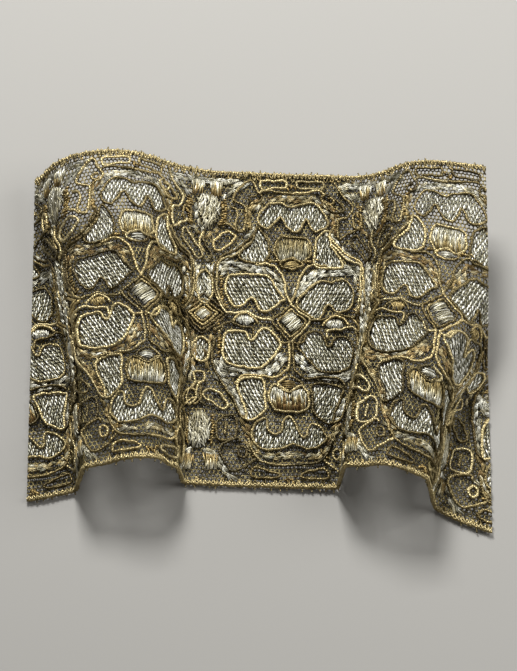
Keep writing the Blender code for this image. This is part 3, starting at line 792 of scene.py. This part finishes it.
# the hexagonal net, in two lengths that meet at a column of cells; its cut ends slant across the flat cloth,
# so the rectangle that it is cut from is a little longer than its mean length
net = {"Pitch": 1.15, "Row": 1.1, "Side": 0.38, "Thickness": 0.45}
netPlan = {"start": 1.1, "meet": -8.05, "slant": 1.08}

# silver darning: one slanted stitch over each cell of the net, and a short one across the gap beside it,
# dimmed as painted shade for the depth between the stitches.
# Lean is from straight across the band, in degrees.
darning = {
    "over": {"long": 1.85, "wide": 0.58, "thick": 0.5, "height": 0.4},
    "under": {"long": 1.3, "wide": 0.42, "thick": 0.32, "height": 0.24, "lean": 24},
    "leans": {
        "heartUpperLeft": 21, "heartUpperRight": -19, "heartLowerLeft": 20, "heartLowerRight": 12,
        "crownUpper": -8, "crownLower": -10, "wedgeUpperLeft": 6, "wedgeUpperRight": -6,
        "wedgeLowerLeft": 16, "wedgeLowerRight": -10,
    },
}


def netCells(first, last, low, high):
    # the middles of the net's cells in a stretch of the cloth
    start, pitch, row = netPlan["start"], net["Pitch"], net["Row"]
    rows = np.arange(math.ceil((low - start) / row), (high - start) / row).astype(int)
    line = np.arange(math.ceil(first / pitch), math.ceil(last / pitch)) * pitch
    return np.vstack([
        np.column_stack([line + (k % 2) * pitch / 2, np.full_like(line, start + k * row)]) for k in rows
    ])


def darn(seeds, ring, lean):
    over, under = darning["over"], darning["under"]
    cells = netCells(*(f(ring[:, k]) for k in (0, 1) for f in (np.min, np.max)))
    for u, v in cells[isInside(cells, shrunk(ring, 0.94))]:
        u, v = u + dice.normal(0, 0.09), v + dice.normal(0, 0.08)
        seeds.append((
            u, v, over["height"], math.radians(90 + lean) + dice.normal(0, 0.13),
            over["long"] * dice.uniform(0.8, 1.15), over["wide"] * dice.uniform(0.8, 1.15), over["thick"],
            0.0, 0.2 + 0.75 * dice.random(), 0.14 + dice.normal(0, 0.06),
        ))
        crossed = math.radians(90 + lean + math.copysign(under["lean"], lean)) + dice.normal(0, 0.2)
        seeds.append((
            u + net["Pitch"] / 2, v, under["height"], crossed, under["long"], under["wide"], under["thick"],
            # low brightness: painted shade for the depth of the gap
            0.4, 0.15 + 0.4 * dice.random(), 0.0,
        ))


def makeDarning():
    seeds = []
    for name, _, ring in filled:
        if name in darning["leans"]:
            darn(seeds, ring, darning["leans"][name])
    for line in intervals:
        for name in ("leaf", "drop"):
            ring = drawAt(intervalLoops[name], True, line)
            if reaches(ring):
                darn(seeds, ring, 0)
    return growSeeds("silverDarning", seeds, silverStripMaterial, sides=5, rings=4)


# laid bands: petals of three fine strands, each petal lying partly over the next
laid = {
    "pace": 1.25, "long": 2.5, "wide": 0.4, "thick": 0.42, "apart": 0.32, "across": 1.0, "height": 0.45,
    "foldHeight": 0.95, "middleHigher": 0.12, "fan": 0.28, "tip": 0.1, "brightest": 0.6375, "gaps": 0.2,
}
bandTones = {
    True: {"heart": 0.15, "rim": 0.9, "silver": 0.2, "gold": 1.15, "mixed": 0.65},
    False: {"heart": 1.15, "rim": 0.2, "silver": 0.2, "gold": 1.15, "mixed": 0.65},
}


def layBand(seeds, path, wide, tone, height):
    heading = np.arctan2(*np.gradient(path, axis=0).T[::-1])
    columns = max(1, int(round(wide / laid["across"])))
    for k, (spot, turn) in enumerate(zip(path, heading)):
        for n in range(columns):
            out = (n - (columns - 1) / 2) * laid["across"] + dice.normal(0, 0.1)
            slip = (0.5 if n % 2 else 0.0) * laid["pace"] + dice.normal(0, 0.15)
            fan = (1 if (k + n) % 2 else -1) * laid["fan"] + dice.normal(0, 0.12)
            if dice.random() < laid["gaps"]:
                continue
            own = np.clip(tone + dice.normal(0, 0.12 + 0.32 * min(tone, 1.0)), 0.0, 1.7)
            shine = laid["brightest"] * dice.random()
            for strand in (-1, 0, 1):
                beside = out + strand * laid["apart"]
                u = spot[0] - math.sin(turn) * beside + math.cos(turn) * slip
                v = spot[1] + math.cos(turn) * beside + math.sin(turn) * slip
                h = height + (0 if strand else laid["middleHigher"]) + dice.normal(0, 0.04)
                seeds.append((
                    u, v, h, turn + fan + strand * 0.1, laid["long"] * dice.uniform(0.75, 1.05), laid["wide"],
                    laid["thick"], own, shine + 0.6 * dice.random(), laid["tip"] + dice.normal(0, 0.05),
                ))


def makeLaidBands():
    seeds = []
    for line, side, silverMotif in halves:
        bands = [(*laidBand, side) for laidBand in halfBands]
        if side < 0:
            bands += [(*laidBand, 1) for laidBand in rightBands]
        for kind, wide, corners, turn in bands:
            path = evenPath(drawAt(corners, False, line, turn), laid["pace"])
            if reaches(path):
                layBand(seeds, path, wide, bandTones[silverMotif][kind], laid["height"])
    for line in foldLines:
        for kind, wide, corners in foldBands:
            path = evenPath(drawAt(corners, False, line), laid["pace"])
            layBand(seeds, path, wide, bandTones[True][kind], laid["foldHeight"])
    return growSeeds("laidBands", seeds, silverStripMaterial, sides=4, rings=4)


# gold knots along the figures' sides, and a tuft on each motif's line at both edges
knot = {"pace": 0.8, "height": 0.6, "thick": 0.8}
tuft = {"rows": (95.2, 2.9), "count": 9, "height": 0.5, "long": 1.3, "wide": 0.6, "thick": 0.7, "tone": 1.1}


def makeKnots():
    seeds = []
    for line, _ in motifs:
        for side in (1, -1):
            for corners in halfKnots:
                path = evenPath(drawAt(corners, False, line, side), knot["pace"])
                for spot in path if reaches(path) else ():
                    u, v = spot + dice.normal(0, 0.14, 2)
                    size = dice.uniform(1.0, 1.6)
                    seeds.append((
                        u, v, knot["height"] + dice.normal(0, 0.1), dice.normal(0.5, 0.4) * side, size,
                        size / 2, knot["thick"], dice.uniform(0.7, 1.2), 0.3 + 0.7 * dice.random(), 0.0,
                    ))
        for v in tuft["rows"]:
            for _ in range(tuft["count"]):
                u = line + dice.normal(0, 0.7)
                if reaches([(u, v)]):
                    seeds.append((
                        u, v + dice.normal(0, 0.5), tuft["height"], dice.uniform(0, math.pi), tuft["long"],
                        tuft["wide"], tuft["thick"], tuft["tone"], dice.random(), 0.0,
                    ))
    return growSeeds("goldKnots", seeds, giltCordMaterial)


# satin stitch: threads side by side over a padding, high in the middle. Tones run from one end to the other.
satin = {
    "thread": {"Thickness": 0.42 * mm, "Step": 0.7 * mm, "Sides": 5, "Waver": 0.05 * mm, "Swell": 0.14},
    "low": 0.3,
    "arch": 0.22,
    "points": 6,
    "overlap": 0.05,
}
# the blocks' tones and shine, by name and whether the motif's bands are silver
satinBlocks = {
    ("blockUpper", True): ((0.1, 0.8), (0.0, 0.6)), ("blockLower", True): ((1.9, -0.2), (0.15, 0.85)),
    ("blockUpper", False): ((1.0, -0.1), (0.15, 0.85)), ("blockLower", False): ((0.0, 1.0), (0.15, 0.85)),
}
# the bar in the middle of a motif, and its ovals: (u, v), half sizes, angle, height, tone where the motif's
# bands are silver and where they are gold, and how they are sewn
satinBar = {"at": (0.2, 51.6), "corners": ((-2.1, -2.8), (2.1, -2.8), (2.1, 2.8), (-2.1, 2.8)), "angle": 38}
eyeSewing = {"stitch": 1.6, "stray": 0.12, "shine": (0.4, 1.0)}
satinOvals = (
    ((-12.8, 51.9), (2.3, 1.4), 90, 0.5, (0.0, 1.0), eyeSewing),
    ((12.3, 51.3), (2.3, 1.4), 90, 0.5, (0.0, 1.0), eyeSewing),
    ((0.2, 69.9), (2.0, 1.0), 0, 0.45, (1.0, 0.0), {}),
    ((-0.4, 32.3), (1.8, 1.2), 0, 0.45, (1.3, 0.0), {}),
)
# on the interval's line: the flower's outline, the lower pad, the square and the wedges
flowerUpper = (
    (1.3, 91.4), (-1.9, 90.8), (-2.8, 88), (-1.9, 84.8), (-0.8, 82), (0.9, 80.7), (2.8, 83), (3.9, 87.2),
    (3.7, 90),
)
padSewing = {"pitch": 0.32, "stitch": 2.0, "stray": 0.22}
lowerPad = {"at": (-0.2, 17.4), "half": (3.4, 5.6)}
satinSquare = ((2.1, 0), (0, 1.9), (-2.1, 0), (0, -1.9))
satinWedge = ((-1.4, -2.8), (1.6, -2.4), (2.1, 2.0), (-2.1, 2.4))
satinWedges = (
    (-2.9, 93.8, (1.5, 0.05)), (2.9, 93.8, (1.5, 0.05)), (-3.2, 7.6, (0.3, 1.3)), (3.2, 7.6, (0.3, 1.3)),
)


def satinFill(threads, ring, angle, high, tones, pitch=0.36, stitch=3.2, stray=0.05, shine=(0.2, 1.0)):
    angle = math.radians(angle)
    direction = np.array([math.cos(angle), math.sin(angle)])
    reach = ring @ direction
    middle, half = ring.mean(axis=0), np.ptp(ring, axis=0) / 2
    for start, end in chords(ring, angle, pitch):
        length = np.linalg.norm(end - start)
        if length < 0.5:
            continue
        stitches = max(1, int(round(length / stitch)))
        cuts = np.linspace(0, 1, stitches + 1)
        cuts[1:-1] += dice.normal(0, 0.25 / stitches, stitches - 1)
        shift = dice.normal(0, 0.16)
        for a, b in zip(cuts, cuts[1:]):
            first, last = max(0.0, a - satin["overlap"]), min(1.0, b + satin["overlap"])
            shares = np.linspace(first, last, satin["points"])
            path = start + (end - start) * shares[:, None]
            path += dice.normal(0, 0.05, 2)
            aside = np.linspace(-1, 1, satin["points"]) * dice.normal(0, stray) * length / stitches
            path += np.outer(aside, (-direction[1], direction[0]))
            dome = np.clip(1.2 - (((path - middle) / half) ** 4).sum(axis=1), 0.0, 1.0)
            arch = satin["arch"] * np.sin(np.linspace(0, math.pi, satin["points"]))
            heights = satin["low"] + high * dome + arch + dice.normal(0, 0.07)
            where = (path @ direction - reach.min()) / np.ptp(reach)
            tone = tones[0] + (tones[1] - tones[0]) * np.clip((where + shift - 0.45) * 2.2 + 0.5, 0, 1)
            threads.add(path, heights, np.clip(tone, 0.0, 2.0), dice.uniform(*shine))


def oval(middle, half, count=28):
    angles = np.linspace(0, 2 * math.pi, count, endpoint=False)
    return np.column_stack([np.cos(angles), np.sin(angles)]) * half + middle


def makeSatin():
    threads = Threads()
    for name, silverMotif, ring in filled:
        if (name, silverMotif) in satinBlocks:
            tones, shine = satinBlocks[name, silverMotif]
            satinFill(threads, shrunk(ring, 0.93), 90, 0.35, tones, stitch=2.4, stray=0.08, shine=shine)
    c, s = math.cos(math.radians(satinBar["angle"])), math.sin(math.radians(satinBar["angle"]))
    bar = np.array(satinBar["corners"]) @ [[c, s], [-s, c]] + satinBar["at"]
    for line, silverMotif in motifs:
        if not reaches([(line - 24, 50), (line + 24, 50), (line, 50)]):
            continue
        satinFill(threads, bar + (line, 0), satinBar["angle"], 0.65, (0.12, 0.12))
        for (u, v), half, angle, high, (silver, gold), sewing in satinOvals:
            tone = silver if silverMotif else gold
            satinFill(threads, oval((line + u, v), half), angle, high, (tone, tone), **sewing)
    for line in intervals:
        if not reaches([(line, 20), (line, 85)]):
            continue
        flower = drawAt(flowerUpper, True, line)
        satinFill(threads, flower, 84, 0.5, (0.3, 0.1), shine=(0.0, 0.85), **padSewing)
        pad = oval(lowerPad["at"], lowerPad["half"]) + (line, 0)
        satinFill(threads, pad, 96, 0.5, (0.05, 0.25), shine=(0.0, 0.75), **padSewing)
        if line not in foldLines:
            satinFill(threads, np.array(satinSquare) + (line, diamond["v"]), 42, 0.7, (0.15, 0.15))
        for u, v, tones in satinWedges:
            satinFill(threads, np.array(satinWedge) + (line + u, v), 88, 0.4, tones)
    return threads.grow("satinStitches", satinFlossMaterial, satin["thread"])


# the two edgings: a thick gold cord, a bright thread that zigzags along its inner side, loops into the net
edging = {
    "core": {"Thickness": 0.95 * mm, "Step": 0.3 * mm, "Sides": 8, "Waver": 0.1 * mm, "Swell": 0.2},
    "thread": {"Thickness": 0.42 * mm, "Step": 0.3 * mm, "Sides": 5, "Waver": 0.06 * mm, "Swell": 0.2},
    "corePlace": 0.6,
    "zigzag": 0.56,
    "reach": 1.8,
    "loop": 2.3,
    "looseEnd": 2.1,
}


def edgeLine(apart):
    return np.arange(drawn["from"], drawn["to"], apart)


def makeEdging(name, low):
    def fromEdge(u, v):
        return np.column_stack([u, v if low else band["width"] - v])

    core, threads = Threads(), Threads()
    line = edgeLine(1.0)
    core.add(fromEdge(line, np.full_like(line, edging["corePlace"])), 0.4, 0.75, 0.6)
    edgeCord = core.grow(name, giltCordMaterial, edging["core"])
    line = edgeLine(edging["zigzag"])
    nearEdge = 0.5 if low else 0.25  # the thread goes over the cord, further on the upper edge
    inward = np.where(np.arange(len(line)) % 2, nearEdge, edging["reach"]) + dice.normal(0, 0.18, len(line))
    zigzag = smoothPath(np.column_stack([line + dice.normal(0, 0.14, len(line)), inward]), False, 3)
    heights = np.interp(zigzag[:, 1], (0.1, 0.6, 1.2, 2.0), (0.7, 1.05, 0.75, 0.4))
    threads.add(fromEdge(*zigzag.T), heights, 0.62, 0.85)
    for u in edgeLine(edging["loop"]):
        u += dice.normal(0, 0.35)
        deep = edging["reach"] + dice.uniform(0.5, 1.1)
        wide = dice.uniform(0.4, 0.75)
        across = np.array([-wide, -wide * 0.4, 0, wide * 0.5, wide])
        inward = np.array([1.2, deep - 0.3, deep, deep - 0.3, 1.2])
        threads.add(fromEdge(across + u, inward), 0.4, dice.uniform(0.55, 0.9), dice.random())
    for u in edgeLine(edging["looseEnd"]):
        if dice.random() < 0.5:  # loose ends of the silk standing out from the edge
            ends = np.array([(u, 0.3), (u + dice.normal(0, 0.3), -0.3 - 0.5 * dice.random())])
            threads.add(fromEdge(*ends.T), 0.3, 0.5, 0.3)
    return edgeCord, threads.grow(name + "Stitches", giltCordMaterial, edging["thread"])


def makeNet(name, first, last):
    cells = netCells(first, last, netPlan["start"], band["width"] - netPlan["start"])
    cells = cells[between(cells)]
    facts = {
        "tone": 0.62 + dice.normal(0, 0.1, len(cells)),
        "tint": np.clip(dice.normal(0.5, 0.25, len(cells)), 0, 1),
    }
    points = np.column_stack([cells, np.zeros(len(cells))])
    sizes = {key: value * mm for key, value in net.items()}
    return growPiece(name, points, [], facts, "hexNet", sizes, netThreadMaterial), len(cells)


cords = makeCords()
darned = makeDarning()
laidBands = makeLaidBands()
knots = makeKnots()
satins = makeSatin()
lowerEdging, lowerStitches = makeEdging("lowerEdging", True)
upperEdging, upperStitches = makeEdging("upperEdging", False)
leftNet = makeNet("netLeft", drawn["from"], netPlan["meet"])
rightNet = makeNet("netRight", netPlan["meet"], drawn["to"])

nodes = sorted(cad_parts)
pads = [n for n in nodes if n.startswith(("satin_bar", "blob_"))]
outlines = [n for n in nodes if n not in pads and n not in ("net_band", "lower_edging", "upper_edging")]
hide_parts(*outlines)
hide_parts(*pads)
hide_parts("lower_edging")
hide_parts("upper_edging")
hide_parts("net_band")
print("pieces ready")

# plain pale floor, soft studio light
floorMesh = bpy.data.meshes.new("floor")
floorMesh.from_pydata([(-2, -2, 0), (2, -2, 0), (2, 2, 0), (-2, 2, 0)], [], [(0, 1, 2, 3)])
floor = addObject("floor", floorMesh)
floorMaterial = bpy.data.materials.new("palePaperSweep")  # matt, a warm light grey
floorMaterial.use_nodes = True
floorShader = floorMaterial.node_tree.nodes["Principled BSDF"]
floorShader.inputs["Base Color"].default_value = toLinear("#A4A29D")
floorShader.inputs["Roughness"].default_value = 0.9
floorMesh.materials.append(floorMaterial)

world = bpy.data.worlds.new("studio")
world.use_nodes = True
background = world.node_tree.nodes["Background"].inputs
background["Color"].default_value = toLinear("#DEDCD8")
background["Strength"].default_value = 0.2
bpy.context.scene.world = world
lights = {
    "key": {"at": (-0.12, 0.56, 0.56), "size": 0.24, "power": 8.7},
    "fill": {"at": (0.62, 0.1, 0.42), "size": 0.5, "power": 3.6},
}
for name, lamp in lights.items():
    data = bpy.data.lights.new(name, "AREA")
    data.size = lamp["size"]
    data.energy = lamp["power"]
    made = addObject(name, data)
    made.location = lamp["at"]
    x, y, z = lamp["at"]
    made.rotation_euler = (math.atan2(math.hypot(x, y), z), 0.0, math.atan2(-x, y) + math.pi)

# camera straight from the front, 62.5 degrees above the surface, through a long lens
view = {"elevation": 62.5, "lens": 300.0, "sensor": 36.0, "frameWidth": 144.8, "centre": (-0.14, 4.1, 0.5)}
cameraData = bpy.data.cameras.new("camera")
cameraData.sensor_fit = "HORIZONTAL"
cameraData.sensor_width = view["sensor"]
cameraData.lens = view["lens"]
cameraData.clip_end = 10.0
camera = addObject("camera", cameraData)
distance = view["frameWidth"] * view["lens"] / view["sensor"]
tilt = math.radians(view["elevation"])
x, y, z = view["centre"]
camera.location = (x * mm, (y - distance * math.cos(tilt)) * mm, (z + distance * math.sin(tilt)) * mm)
camera.rotation_euler = (math.pi / 2 - tilt, 0.0, 0.0)
bpy.context.scene.camera = camera
bpy.context.scene.view_settings.view_transform = "Standard"
print("scene ready")
